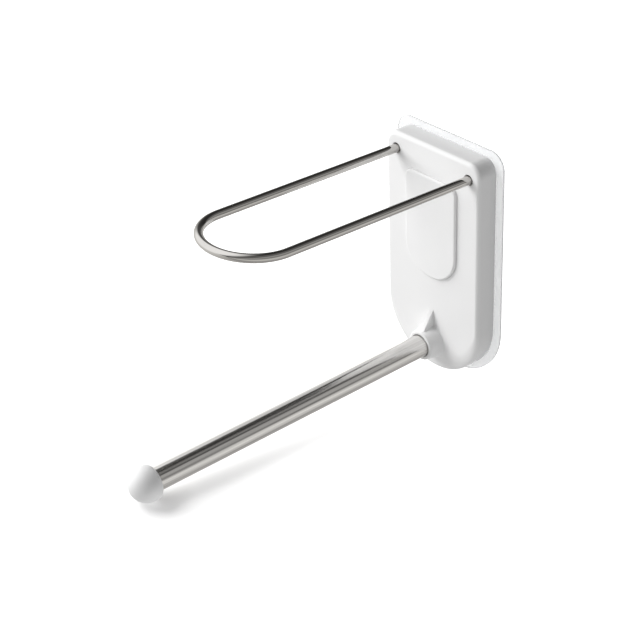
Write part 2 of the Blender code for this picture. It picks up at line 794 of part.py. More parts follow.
def build():
    white = material("white_abs", (0.86, 0.86, 0.86), 0.38)
    cover_white = material("cover_white_abs", (0.87, 0.87, 0.87), 0.36)
    cap_white = material("cap_white_abs", (0.84, 0.84, 0.84), 0.45)
    mount_white = material("mount_white_abs", (0.80, 0.80, 0.80), 0.5)
    clear = material("clear_sheet", (0.90, 0.91, 0.92), 0.08, alpha=0.35)
    gel = material("clear_gel", (0.88, 0.89, 0.90), 0.3, alpha=0.4)
    foam = material("bond_foam", (0.75, 0.76, 0.78), 0.9)
    chrome = material("bright_wire", (0.74, 0.73, 0.71), 0.10, metallic=1.0)
    stainless = material("stainless_tube", (0.66, 0.65, 0.63), 0.24, metallic=1.0)
    zinc = material("zinc_plate", (0.60, 0.61, 0.62), 0.38, metallic=1.0)
    fastener = material("zinc_screw", (0.58, 0.58, 0.56), 0.32, metallic=1.0)
    nylon = material("natural_nylon", (0.82, 0.81, 0.77), 0.5)
    rubber = material("black_rubber", (0.03, 0.03, 0.03), 0.7)

    wall = body_empty("wall_mount_body", 0.0, 0.0)
    holder = body_empty("holder_body", HOUSING_REAR, 0.0)
    cap = body_empty("cap_body", HOUSING_FRONT + TUBE_LENGTH_OUT, TUBE_Z)

    sheet_at = GEL_THICKNESS + LAYER_GAP
    bond_at = sheet_at + SHEET_THICKNESS + LAYER_GAP
    mount_at = bond_at + BOND_THICKNESS + LAYER_GAP
    finish(flat_piece("gel_pad", [sheet_outline(GEL_MARGIN)], 0.0, GEL_THICKNESS), gel, wall)
    sheet = flat_piece("clear_sheet", [sheet_outline(0.0)], sheet_at, sheet_at + SHEET_THICKNESS)
    finish(sheet, clear, wall)
    bond = flat_piece("bond_pad", [mount_outline(BOND_MARGIN)], bond_at, bond_at + BOND_THICKNESS)
    finish(bond, foam, wall)
    finish(mount_plate(mount_at), mount_white, wall)
    for stud in hook_studs(mount_at):
        finish(stud, zinc, wall)

    finish(housing(), white, holder)
    finish(cover_tape(), foam, holder)
    finish(front_cover(), cover_white, holder)
    finish(chassis_plate(), zinc, holder)
    for screw in chassis_screws():
        finish(screw, fastener, holder)

    wire_fixing = fixing("wire", wire_places, WIRE_SCREW, WIRE_WASHER, WIRE_LOCK_WASHER)
    tube_fixing = fixing("tube", tube_places, TUBE_SCREW, TUBE_WASHER, TUBE_LOCK_WASHER)
    for piece in (*wire_fixing, *tube_fixing):
        finish(piece, fastener, holder)
    finish(wire_loop(), chrome, holder)
    for bush in wire_bushes():
        finish(bush, nylon, holder)
    finish(tube(), stainless, holder)
    finish(tube_plug(), fastener, holder)

    finish(end_cap(), cap_white, cap)
    finish(cap_ring(), rubber, cap)


clear_scene()
WORK = new_collection("work")
CUTTERS = new_collection("cutters")
PART = new_collection("paper_towel_holder")
build()
for leftover in list(CUTTERS.objects):
    bpy.data.objects.remove(leftover)
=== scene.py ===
"""Looks of the wall paper towel holder: fine surfaces, materials, floor, light and camera.

The frame is the CAD model's: the origin is on the wall, -Y points out into the room, +X is to
the right and +Z is up. Lengths are in metres, and a depth is a distance out of the wall.
"""

import json
import math

import bmesh
import bpy
from mathutils import Matrix, Vector


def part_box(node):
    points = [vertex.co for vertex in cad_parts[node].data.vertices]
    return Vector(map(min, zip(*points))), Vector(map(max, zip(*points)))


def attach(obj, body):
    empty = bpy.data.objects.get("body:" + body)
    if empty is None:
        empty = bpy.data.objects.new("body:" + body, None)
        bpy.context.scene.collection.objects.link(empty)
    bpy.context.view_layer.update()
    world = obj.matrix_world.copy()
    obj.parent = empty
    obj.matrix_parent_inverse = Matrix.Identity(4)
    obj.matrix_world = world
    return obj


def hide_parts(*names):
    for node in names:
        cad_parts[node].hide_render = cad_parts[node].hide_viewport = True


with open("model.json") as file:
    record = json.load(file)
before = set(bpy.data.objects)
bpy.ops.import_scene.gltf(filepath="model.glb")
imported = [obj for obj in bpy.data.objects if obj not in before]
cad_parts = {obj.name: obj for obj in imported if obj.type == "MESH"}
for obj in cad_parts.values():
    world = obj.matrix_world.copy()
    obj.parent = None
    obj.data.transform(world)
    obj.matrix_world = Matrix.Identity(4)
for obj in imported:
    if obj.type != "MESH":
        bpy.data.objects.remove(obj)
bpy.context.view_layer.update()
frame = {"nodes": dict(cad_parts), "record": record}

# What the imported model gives
HOUSING_LOW, HOUSING_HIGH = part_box("housing")
COVER_LOW, COVER_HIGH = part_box("front_cover")
SHEET_LOW, SHEET_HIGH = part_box("clear_sheet")
TUBE_LOW, TUBE_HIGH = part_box("tube")
CAP_LOW, CAP_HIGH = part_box("end_cap")
CHASSIS_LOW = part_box("chassis_plate")[0]

# Clearance between pieces that meet, how far a cutter passes what it cuts, and the distance
# within which points are welded
GAP = 0.0003
OVERRUN = 0.002
WELD = 0.000002

# Housing
SEAT = -CHASSIS_LOW.y + GAP
REAR = -HOUSING_HIGH.y
FRONT = REAR + 0.0158
WALL = 0.0022
INSIDE = FRONT - WALL
HALF_WIDTH = HOUSING_HIGH.x
TOP = HOUSING_HIGH.z
TOP_RADIUS = 0.010
ARC_Z = TOP - 0.127
ARC_DROP = ARC_Z - HOUSING_LOW.z
EDGE_ROUNDING = 0.0030
BOTTOM_ROUNDING = 0.0140
REAR_CHAMFER = 0.0003

# Ribs, bosses and sockets inside the housing; ribs that cross start at slightly different depths,
# so that none of their faces coincide
RIB_THICKNESS = 0.0015
UPRIGHT_RIB_REAR = 0.0135
UPRIGHT_RIB_X = 0.0132
UPRIGHT_RIB_BOTTOM = -0.052
UPRIGHT_RIB_TOP = 0.066
CROSS_RIB_REAR = 0.0136
CROSS_RIB_HALF_WIDTH = 0.0428
CROSS_RIB_ZS = (0.0145, -0.0420)
BOSS_PLACES = ((0.036, 0.052), (0.036, -0.006), (0.026, -0.066))
BOSS_RADIUS = 0.0034
BOSS_BORE = 0.00175
BOSS_BORE_LENGTH = 0.0065
WIRE_SOCKET_RADIUS = 0.0063
WIRE_SOCKET_BORE = 0.0047
WIRE_SOCKET_STOP = 0.0005
TUBE_SOCKET_RADIUS = 0.0110

# Collar, gusset and tube; a sink or an overlap is how far a shape reaches into what it joins
TUBE_Z = (TUBE_LOW.z + TUBE_HIGH.z) / 2
TUBE_RADIUS = (TUBE_HIGH.z - TUBE_LOW.z) / 2
TUBE_WALL = 0.0008
TUBE_FRONT = -TUBE_LOW.y
TUBE_REAR = -TUBE_HIGH.y
COLLAR_RIM = FRONT + 0.0115
COLLAR_RIM_RADIUS = 0.0108
COLLAR_BASE_RADIUS = 0.0122
COLLAR_RIM_ROUNDING = 0.0011
COLLAR_FILLET = 0.0010
COLLAR_OVERLAP = 0.0012
COLLAR_SINK = 0.00003
GUSSET_TOP = TUBE_Z + 0.025
GUSSET_FRONT = FRONT + 0.0092
GUSSET_HALF_WIDTH = 0.0019
GUSSET_ROUNDING = 0.0007
GUSSET_SINK = 0.0018
GUSSET_KNEE = 0.0002

# Wire loop; the inner point is the last one of its path behind the front face
WIRE_Z = TUBE_Z + 0.136
WIRE_RADIUS = 0.00305
WIRE_X = 0.034
NOSE_LENGTH = 0.032
LOOP_REACH = 0.184
LOOP_RISE = math.tan(math.radians(2.15))
LOOP_BEND = 0.004
LOOP_INNER_POINT = 0.003
WIRE_HOLE_RADIUS = 0.00365

# The flared mouths of the bores for the wires and the tube
MOUTH_FLARE = 0.0024
MOUTH_DEPTH = 0.0004

# Front cover and its recess
COVER_TOP_RADIUS = 0.006
COVER_BOTTOM_RADIUS = 0.0225
COVER_EDGE = 0.0014
COVER_CLEARANCE = 0.00015
COVER_RECESS = 0.0012
COVER_CUT_RISE = 0.003

# Clear sheet
SHEET_TOP_RADIUS = 0.012
SHEET_BOTTOM_RADIUS = 0.042
SHEET_EDGE = 0.0004

# Ball end and its hollow spigot; the groove lies between two distances into the tube
CAP_RADIUS = (CAP_HIGH.x - CAP_LOW.x) / 2
CAP_RIM = 0.0006
SPIGOT_RADIUS = TUBE_RADIUS - TUBE_WALL - GAP
SPIGOT_LENGTH = 0.0140
SPIGOT_CHAMFER = 0.0008
SPIGOT_WALL = 0.0016
GROOVE_RADIUS = SPIGOT_RADIUS - 0.0010
GROOVE_START = 0.0074
GROOVE_END = 0.0096
CAP_HOLLOW = 0.0012

# Floor: its size, and how far it lies below what rests on it
FLOOR_SIZE = 12.0
FLOOR_DROP = 0.0005

# Light: the lamps' places, sizes and powers in watts, and the directions towards the key and
# towards the lighter fill
TARGET = (0.0, -0.12, 0.0)
KEY_PLACE = (-1.28, -0.92, 1.03)
KEY_SIDE = (-0.69, -0.43, 0.585)
KEY_SIZE = (1.5, 1.5)
KEY_POWER = 44.0
FLOOR_LAMP_PLACE = (-1.10, -0.75, 1.10)
FLOOR_LAMP_SIZE = (1.2, 1.2)
FLOOR_POWER = 26.0
STRIP_PLACE = (-1.27, 0.40, 0.35)
STRIP_SIZE = (1.3, 2.0)
STRIP_POWER = 5.4
BOUNCE_PLACE = (0.45, -0.14, -0.44)
BOUNCE_TARGET = (0.0, -0.26, TUBE_Z)
BOUNCE_SIZE = (0.6, 0.6)
BOUNCE_POWER = 0.9
BACK_PLACE = (0.6, 1.4, 0.6)
BACK_TARGET = (0.0, 0.0, 0.0)
BACK_SIZE = (1.2, 1.2)
BACK_POWER = 30.0
FILL_SIDE = (0.0, -0.2, -1.0)
FILL_FROM_ABOVE = 0.13
FILL_FROM_BELOW = 0.87

# The soft light that shiny pieces mirror round the key: its brightness, and the cosines of the
# angles from the key where it starts and where it is full
SOFTBOX = 1.3
SOFTBOX_START = 0.54
SOFTBOX_FULL = 0.82

# Painted light: the floor's own glow at distances in metres from under the ball end. It is dim there so
# the shadow beside the ball end shows, and brighter further off, where it washes out the tube's shadow
PAINTED_FLOOR_GLOW = (
    (0.0, 0.10),
    (0.03, 0.46),
    (0.12, 0.68),
    (0.24, 0.80),
    (0.32, 0.76),
    (0.42, 0.70),
    (0.60, 0.74),
)

# How bright the mirrored studio is by angle about the Y axis: 0 is up, 90 is +X
STUDIO = (
    (-180, 0.50),
    (-150, 0.66),
    (-125, 0.80),
    (-95, 0.85),
    (-80, 0.40),
    (-66, 0.12),
    (-50, 0.05),
    (-30, 0.035),
    (-10, 0.035),
    (5, 0.05),
    (14, 0.16),
    (23, 0.24),
    (31, 0.10),
    (37, 0.10),
    (43, 0.36),
    (56, 0.44),
    (66, 0.40),
    (76, 0.24),
    (84, 0.24),
    (92, 0.60),
    (103, 0.84),
    (115, 0.78),
    (128, 0.70),
    (141, 0.54),
    (154, 0.40),
    (170, 0.42),
    (180, 0.50),
)

# Looks: the painted shade on a clear piece's cut edges, a dark grey that stands in for the darkening
# refraction gives them, and the least faces of a node that is shaded smooth
CUT_EDGE_PAINTED_SHADE = (0.42, 0.43, 0.44, 1.0)
ROUND_FACES = 150

# Camera
CAMERA_PLACE = (0.78108, -0.77190, 0.60603)
CAMERA_AZIMUTH = math.radians(50.104)
CAMERA_ELEVATION = math.radians(31.045)
CAMERA_ROLL = math.radians(-2.117)
CAMERA_LENS = 102.877

OUTWARDS = Matrix.Rotation(math.radians(90), 4, "X")


# Shapes


def at(x, depth, z):
    return Matrix.Translation((x, -depth, z)) @ OUTWARDS


def new_object(name, data):
    made = bpy.data.objects.new(name, data)
    bpy.context.scene.collection.objects.link(made)
    return made


def settled(made):
    """Applies an object's modifiers and its matrix, and welds what coincides."""
    bpy.context.view_layer.update()
    graph = bpy.context.evaluated_depsgraph_get()
    mesh = bpy.data.meshes.new_from_object(made.evaluated_get(graph))
    mesh.transform(made.matrix_world)
    shape = bmesh.new()
    shape.from_mesh(mesh)
    bmesh.ops.remove_doubles(shape, verts=shape.verts, dist=WELD)
    bmesh.ops.recalc_face_normals(shape, faces=shape.faces)
    shape.to_mesh(mesh)
    shape.free()
    name = made.name
    bpy.data.objects.remove(made)
    return new_object(name, mesh)


def smooth(made, angle=35.0):
    made.data.shade_smooth()
    made.data.set_sharp_from_angle(angle=math.radians(angle))
    return made


def weighted(made):
    """Smooth shading in which the flat faces keep the edges beside them flat."""
    smooth(made)
    step = made.modifiers.new("WeightedNormal", "WEIGHTED_NORMAL")
    step.keep_sharp = True
    step.weight = 80
    return made


def boolean(target, tool, operation):
    step = target.modifiers.new(tool.name, "BOOLEAN")
    step.operation = operation
    step.solver = "EXACT"
    step.object = tool
    solid = settled(target)
    bpy.data.objects.remove(tool)
    return solid


def arc(centre_x, centre_z, radius_x, radius_z, start, end, steps):
    points = []
    for step in range(steps + 1):
        angle = math.radians(start + (end - start) * step / steps)
        points.append((centre_x + radius_x * math.cos(angle), centre_z + radius_z * math.sin(angle)))
    return points


def tab_outline(half_width, top, bottom, top_radius, bottom_x, bottom_z, steps=14, bottom_steps=44):
    """A tall outline with round top corners and larger, elliptical bottom corners."""
    right, low = half_width - bottom_x, bottom + bottom_z
    side, high = half_width - top_radius, top - top_radius
    points = arc(right, low, bottom_x, bottom_z, -90, 0, bottom_steps)
    points += arc(side, high, top_radius, top_radius, 0, 90, steps)
    points += arc(-side, high, top_radius, top_radius, 90, 180, steps)
    points += arc(-right, low, bottom_x, bottom_z, 180, 270, bottom_steps)
    if right < WELD:
        points.pop()
    return points


def with_normals(points):
    found = []
    for index, (x, z) in enumerate(points):
        before, after = points[index - 1], points[(index + 1) % len(points)]
        along_x, along_z = after[0] - before[0], after[1] - before[1]
        length = math.hypot(along_x, along_z)
        found.append((x, z, along_z / length, -along_x / length))
    return found


def bridge(shape, first, second):
    for index in range(len(first)):
        following = (index + 1) % len(first)
        shape.faces.new((first[index], first[following], second[following], second[index]))


def mesh_object(name, shape):
    bmesh.ops.recalc_face_normals(shape, faces=shape.faces)
    mesh = bpy.data.meshes.new(name)
    shape.to_mesh(mesh)
    shape.free()
    return new_object(name, mesh)


def turned(name, profile, place, steps=96, closed=False):
    """A piece turned about its own Z axis from (radius, height) points, outer side from the top down."""
    mesh = bpy.data.meshes.new(name)
    corners = [(radius, 0.0, height) for radius, height in profile]
    edges = [(index, index + 1) for index in range(len(corners) - 1)]
    if closed:
        edges.append((len(corners) - 1, 0))
    mesh.from_pydata(corners, edges, [])
    made = new_object(name, mesh)
    made.matrix_world = place
    screw = made.modifiers.new("Screw", "SCREW")
    screw.steps = steps
    screw.render_steps = steps
    screw.use_merge_vertices = True
    screw.merge_threshold = WELD
    return settled(made)


def rounded_plate(name, outline, near, far, rounding, rear_rounding=0.0, steps=6):
    """A plate with a flat outline from depth near to depth far and quarter-round edges."""
    points = with_normals(outline)
    shape = bmesh.new()

    def ring(depth, inset):
        return [shape.verts.new((x - nx * inset, -depth, z - nz * inset)) for x, z, nx, nz in points]

    rings = []
    for step in range(steps + 1 if rear_rounding else 1):
        angle = math.radians(90) * step / steps
        inset = rear_rounding * (1 - math.sin(angle))
        rings.append(ring(near + rear_rounding * (1 - math.cos(angle)), inset))
    for step in range(steps + 1):
        angle = math.radians(90) * step / steps
        depth = far - rounding * (1 - math.sin(angle))
        rings.append(ring(depth, rounding * (1 - math.cos(angle))))
    for first, second in zip(rings, rings[1:]):
        bridge(shape, first, second)
    shape.faces.new(rings[0])
    shape.faces.new(rings[-1])
    return mesh_object(name, shape)


def flat_cutter(name, outline, near, far):
    shape = bmesh.new()
    rings = [[shape.verts.new((x, -depth, z)) for x, z in outline] for depth in (near, far)]
    bridge(shape, *rings)
    shape.faces.new(rings[0])
    shape.faces.new(rings[1])
    return mesh_object(name, shape)


def post(radius, length):
    """The profile of a plain round post."""
    return [(0.0, length), (radius, length), (radius, 0.0), (0.0, 0.0)]


# Housing


def housing_ring(shape, inset, depth, share=0.0, less=0.0):
    outline = tab_outline(HALF_WIDTH, TOP, HOUSING_LOW.z, TOP_RADIUS, HALF_WIDTH, ARC_DROP)
    corners = []
    for x, z, out_x, out_z in with_normals(outline):
        low = min(1.0, max(0.0, (ARC_Z - z) / ARC_DROP))
        rounding = EDGE_ROUNDING + (BOTTOM_ROUNDING - EDGE_ROUNDING) * low - less
        move = inset + rounding * share
        corners.append(shape.verts.new((x - out_x * move, -depth, z - out_z * move)))
    return corners


def shell_rings(shape, inset, front, rounding_depth, less, steps, rear_chamfer):
    rings = [housing_ring(shape, inset + rear_chamfer, REAR)]
    if rear_chamfer:
        rings.append(housing_ring(shape, inset, REAR + rear_chamfer))
    for step in range(steps + 1):
        angle = math.radians(90) * step / steps
        depth = front - rounding_depth * (1 - math.sin(angle))
        rings.append(housing_ring(shape, inset, depth, 1 - math.cos(angle), less))
    for first, second in zip(rings, rings[1:]):
        bridge(shape, first, second)
    shape.faces.new(rings[-1])
    return rings[0]


def cover_outline(inset, steps=12, bottom_steps=36):
    return tab_outline(
        COVER_HIGH.x - inset,
        COVER_HIGH.z - inset,
        COVER_LOW.z + inset,
        COVER_TOP_RADIUS - inset,
        COVER_BOTTOM_RADIUS - inset,
        COVER_BOTTOM_RADIUS - inset,
        steps,
        bottom_steps,
    )


def collar():
    """The tapered collar with a rounded rim and a fillet where it meets the front face."""
    base = FRONT - COLLAR_OVERLAP
    length, face = COLLAR_RIM - base, FRONT - base
    rim = COLLAR_RIM_ROUNDING
    profile = [(0.0, length), (COLLAR_RIM_RADIUS - rim, length)]
    for step in range(1, 7):
        angle = math.radians(15 * step)
        radius = COLLAR_RIM_RADIUS - rim * (1 - math.sin(angle))
        profile.append((radius, length - rim * (1 - math.cos(angle))))
    for step in range(9):
        angle = math.radians(90) * step / 8
        out = COLLAR_FILLET * (1 - math.cos(angle))
        up = COLLAR_FILLET * (1 - math.sin(angle))
        profile.append((COLLAR_BASE_RADIUS + out, face + up - COLLAR_SINK))
    profile += [(COLLAR_BASE_RADIUS + COLLAR_FILLET, 0.0), (0.0, 0.0)]
    return turned("collar", profile, at(0.0, base, TUBE_Z))


def gusset():
    """The triangular rib above the collar, with round sloped edges."""
    base = FRONT - COLLAR_OVERLAP
    inside = TUBE_Z + COLLAR_RIM_RADIUS - GUSSET_SINK
    knee = TUBE_Z + COLLAR_RIM_RADIUS + GUSSET_KNEE
    lean = (GUSSET_TOP - knee) / (GUSSET_FRONT - FRONT)
    outline = [
        (-base, inside),
        (-base, GUSSET_TOP + lean * (FRONT - base)),
        (-GUSSET_FRONT, knee),
        (-GUSSET_FRONT, inside),
    ]
    shape = bmesh.new()
    sides = [
        [shape.verts.new((half, y, z)) for y, z in outline]
        for half in (-GUSSET_HALF_WIDTH, GUSSET_HALF_WIDTH)
    ]
    bridge(shape, *sides)
    shape.faces.new(sides[0])
    shape.faces.new(sides[1])
    sloped = []
    for side in sides:
        sloped.append(shape.edges.get((side[1], side[2])))
        sloped.append(shape.edges.get((side[2], side[3])))
    bmesh.ops.bevel(
        shape,
        geom=sloped,
        offset=GUSSET_ROUNDING,
        segments=4,
        affect="EDGES",
        profile=0.5,
        clamp_overlap=True,
    )
    return mesh_object("gusset", shape)


def rib_outlines():
    """The four ribs on the inside of the front wall as (outline, depth where they start)."""
    spans = []
    for low_x in (-UPRIGHT_RIB_X - RIB_THICKNESS, UPRIGHT_RIB_X):
        span = (low_x, UPRIGHT_RIB_BOTTOM, low_x + RIB_THICKNESS, UPRIGHT_RIB_TOP)
        spans.append((span, UPRIGHT_RIB_REAR))
    for low_z in CROSS_RIB_ZS:
        span = (-CROSS_RIB_HALF_WIDTH, low_z, CROSS_RIB_HALF_WIDTH, low_z + RIB_THICKNESS)
        spans.append((span, CROSS_RIB_REAR))
    return [
        ([(left, low), (right, low), (right, high), (left, high)], rear)
        for (left, low, right, high), rear in spans
    ]


def tube_bore():
    radius = TUBE_RADIUS + GAP
    rim = COLLAR_RIM - SEAT + OVERRUN
    profile = [
        (0.0, rim + OVERRUN),
        (radius + MOUTH_FLARE, rim + OVERRUN),
        (radius, rim - MOUTH_DEPTH),
        (radius, 0.0),
        (0.0, 0.0),
    ]
    return turned("tube_bore", profile, at(0.0, SEAT - OVERRUN, TUBE_Z))


def wire_bore(x):
    """The hole for the wire in the front wall, with the bush's wider bore behind it."""
    face = FRONT - SEAT + OVERRUN
    step = INSIDE - WIRE_SOCKET_STOP - SEAT + OVERRUN
    profile = [
        (0.0, face + OVERRUN),
        (WIRE_HOLE_RADIUS + MOUTH_FLARE, face + OVERRUN),
        (WIRE_HOLE_RADIUS, face - MOUTH_DEPTH),
        (WIRE_HOLE_RADIUS, step),
        (WIRE_SOCKET_BORE, step),
        (WIRE_SOCKET_BORE, 0.0),
        (0.0, 0.0),
    ]
    return turned("wire_bore", profile, at(x, SEAT - OVERRUN, WIRE_Z), 64)


def holder_shell():
    shape = bmesh.new()
    outer = shell_rings(shape, 0.0, FRONT, EDGE_ROUNDING, 0.0, 14, REAR_CHAMFER)
    inner = shell_rings(shape, WALL, INSIDE, EDGE_ROUNDING / 2, WALL / 2, 4, 0.0)
    bridge(shape, outer, inner)
    made = mesh_object("holder_shell", shape)
    inner_face = INSIDE + WALL / 2
    for outline, rear in rib_outlines():
        made = boolean(made, flat_cutter("rib", outline, rear, inner_face), "UNION")
    length = inner_face - SEAT
    for x, z in BOSS_PLACES:
        for side in (1, -1):
            boss = turned("boss", post(BOSS_RADIUS, length), at(side * x, SEAT, z), 32)
            made = boolean(made, boss, "UNION")
            place = at(side * x, SEAT - OVERRUN, z)
            pilot = turned("pilot", post(BOSS_BORE, BOSS_BORE_LENGTH), place, 24)
            made = boolean(made, pilot, "DIFFERENCE")
    for side in (1, -1):
        place = at(side * WIRE_X, SEAT, WIRE_Z)
        socket = turned("wire_socket", post(WIRE_SOCKET_RADIUS, length), place, 48)
        made = boolean(made, socket, "UNION")
    socket = turned("tube_socket", post(TUBE_SOCKET_RADIUS, length), at(0.0, SEAT, TUBE_Z), 64)
    made = boolean(made, socket, "UNION")
    made = boolean(made, collar(), "UNION")
    made = boolean(made, gusset(), "UNION")
    made = boolean(made, tube_bore(), "DIFFERENCE")
    for side in (1, -1):
        made = boolean(made, wire_bore(side * WIRE_X), "DIFFERENCE")
    outline = cover_outline(-COVER_CLEARANCE)
    recess = flat_cutter("cover_recess", outline, FRONT - COVER_RECESS, FRONT + COVER_CUT_RISE)
    return weighted(boolean(made, recess, "DIFFERENCE"))


# The other visible pieces


def loop_path():
    straight = LOOP_REACH - NOSE_LENGTH
    side = [(WIRE_X, -SEAT), (WIRE_X, -FRONT + LOOP_INNER_POINT)]
    side += [(WIRE_X, -FRONT - straight * step / 12) for step in range(1, 12)]
    path = list(side)
    for x, y in arc(0.0, 0.0, WIRE_X, NOSE_LENGTH, 0, 180, 96):
        path.append((x, -FRONT - straight - y))
    path += [(-x, y) for x, y in reversed(side)]
    return [Vector((x, y, WIRE_Z + rise_at(-FRONT - y))) for x, y in path]


def rise_at(out):
    """Height gained at a distance out of the front face, with a soft bend at the face."""
    if out <= -LOOP_BEND:
        return 0.0
    if out < LOOP_BEND:
        return LOOP_RISE * (out + LOOP_BEND) ** 2 / (4 * LOOP_BEND)
    return LOOP_RISE * out


def swept(name, path, radius, sides=40, chamfer=0.0005):
    """A round bar swept along a path, with chamfered ends."""
    shape = bmesh.new()
    rings = []
    count = len(path)
    for index, point in enumerate(path):
        before, after = path[max(index - 1, 0)], path[min(index + 1, count - 1)]
        along = (after - before).normalized()
        across = along.cross(Vector((0, 0, 1))).normalized()
        up = across.cross(along).normalized()
        frames = [(point, radius)]
        if index == 0:
            frames = [(point, radius - chamfer), (point + along * chamfer, radius)]
        if index == count - 1:
            frames = [(point - along * chamfer, radius), (point, radius - chamfer)]
        for centre, size in frames:
            ring = []
            for step in range(sides):
                angle = 2 * math.pi * step / sides
                outwards = across * math.cos(angle) + up * math.sin(angle)
                ring.append(shape.verts.new(centre + outwards * size))
            rings.append(ring)
    for first, second in zip(rings, rings[1:]):
        bridge(shape, first, second)
    shape.faces.new(rings[0])
    shape.faces.new(rings[-1])
    return mesh_object(name, shape)


def roll_tube():
    length = TUBE_FRONT - TUBE_REAR
    inner = TUBE_RADIUS - TUBE_WALL
    edge = 0.0002
    profile = [
        (TUBE_RADIUS - edge, length),
        (TUBE_RADIUS, length - edge),
        (TUBE_RADIUS, edge),
        (TUBE_RADIUS - edge, 0.0),
        (inner, 0.0),
        (inner, length),
    ]
    return smooth(turned("roll_tube", profile, at(0.0, TUBE_REAR, TUBE_Z), 128, closed=True), 30)


def ball_end():
    """A ball cut flat towards the tube, with a hollow grooved spigot."""
    centre = -CAP_LOW.y - CAP_RADIUS - TUBE_FRONT - GAP
    start = math.degrees(math.asin(centre / CAP_RADIUS))
    flat_radius = math.sqrt(CAP_RADIUS**2 - centre**2)
    profile = arc(0.0, centre, CAP_RADIUS, CAP_RADIUS, 90, -start + 3, 48)
    profile[0] = (0.0, profile[0][1])
    profile += [
        (flat_radius - CAP_RIM * 0.25, CAP_RIM * 0.12),
        (flat_radius - CAP_RIM, 0.0),
        (SPIGOT_RADIUS, 0.0),
        (SPIGOT_RADIUS, -GROOVE_START),
        (GROOVE_RADIUS, -GROOVE_START),
        (GROOVE_RADIUS, -GROOVE_END),
        (SPIGOT_RADIUS, -GROOVE_END),
        (SPIGOT_RADIUS, -SPIGOT_LENGTH + SPIGOT_CHAMFER),
        (SPIGOT_RADIUS - SPIGOT_CHAMFER, -SPIGOT_LENGTH),
        (GROOVE_RADIUS - SPIGOT_WALL, -SPIGOT_LENGTH),
        (GROOVE_RADIUS - SPIGOT_WALL, 0.0),
        (0.0, CAP_HOLLOW),
    ]
    return smooth(turned("ball_end", profile, at(0.0, TUBE_FRONT + GAP, TUBE_Z), 128), 40)


def carrier_sheet():
    outline = tab_outline(
        SHEET_HIGH.x,
        SHEET_HIGH.z,
        SHEET_LOW.z,
        SHEET_TOP_RADIUS,
        SHEET_BOTTOM_RADIUS,
        SHEET_BOTTOM_RADIUS,
        steps=16,
        bottom_steps=44,
    )
    near, far = -SHEET_HIGH.y, -SHEET_LOW.y
    return weighted(rounded_plate("carrier_sheet", outline, near, far, SHEET_EDGE, SHEET_EDGE, 4))


def cover_panel():
    near, far = -COVER_HIGH.y, -COVER_LOW.y
    outline = cover_outline(0.0)
    return weighted(rounded_plate("cover_panel", outline, near, far, COVER_EDGE, steps=10))


# Materials


def shader_of(name, colour, roughness, metallic=0.0):
    made = bpy.data.materials.new(name)
    made.use_nodes = True
    shader = made.node_tree.nodes["Principled BSDF"]
    shader.inputs["Base Color"].default_value = (*colour, 1.0)
    shader.inputs["Roughness"].default_value = roughness
    shader.inputs["Metallic"].default_value = metallic
    return made, made.node_tree, shader


def noise(tree, scale, detail=3.0, stretch=(1.0, 1.0, 1.0)):
    place = tree.nodes.new("ShaderNodeTexCoord")
    mapping = tree.nodes.new("ShaderNodeMapping")
    mapping.inputs["Scale"].default_value = stretch
    texture = tree.nodes.new("ShaderNodeTexNoise")
    texture.inputs["Scale"].default_value = scale
    texture.inputs["Detail"].default_value = detail
    tree.links.new(place.outputs["Object"], mapping.inputs["Vector"])
    tree.links.new(mapping.outputs["Vector"], texture.inputs["Vector"])
    return texture


def spread(tree, source, low, high):
    """A texture's factor mapped from its usual range to a span of values."""
    step = tree.nodes.new("ShaderNodeMapRange")
    step.inputs["From Min"].default_value = 0.3
    step.inputs["From Max"].default_value = 0.7
    step.inputs["To Min"].default_value = low
    step.inputs["To Max"].default_value = high
    tree.links.new(source.outputs["Fac"], step.inputs["Value"])
    return step.outputs["Result"]


def tint(tree, source, first, second, shader):
    ramp = tree.nodes.new("ShaderNodeValToRGB")
    ramp.color_ramp.elements[0].position = 0.3
    ramp.color_ramp.elements[0].color = (*first, 1.0)
    ramp.color_ramp.elements[1].position = 0.7
    ramp.color_ramp.elements[1].color = (*second, 1.0)
    tree.links.new(source.outputs["Fac"], ramp.inputs["Fac"])
    tree.links.new(ramp.outputs["Color"], shader.inputs["Base Color"])


def bump(tree, source, shader, strength, distance):
    step = tree.nodes.new("ShaderNodeBump")
    step.inputs["Strength"].default_value = strength
    step.inputs["Distance"].default_value = distance
    tree.links.new(source.outputs["Fac"], step.inputs["Height"])
    tree.links.new(step.outputs["Normal"], shader.inputs["Normal"])


def moulded(name, colour, roughness, grain=2600.0, depth=0.000012, soft=0.0):
    """Moulded plastic: a fine spark-eroded grain, a slightly uneven gloss and colour.

    Soft is how much of the light goes through the surface before it comes out again.
    """
    made, tree, shader = shader_of(name, colour, roughness)
    shader.inputs["Subsurface Weight"].default_value = soft
    shader.inputs["Subsurface Radius"].default_value = (1.0, 1.0, 1.0)
    shader.inputs["Subsurface Scale"].default_value = 0.006
    shader.inputs["IOR"].default_value = 1.52
    fine = noise(tree, grain, 2.0)
    broad = noise(tree, 45.0, 2.0)
    darker = tuple(channel * 0.985 for channel in colour)
    tint(tree, broad, darker, colour, shader)
    gloss = spread(tree, fine, roughness - 0.04, roughness + 0.05)
    tree.links.new(gloss, shader.inputs["Roughness"])
    bump(tree, fine, shader, 0.35, depth)
    return made


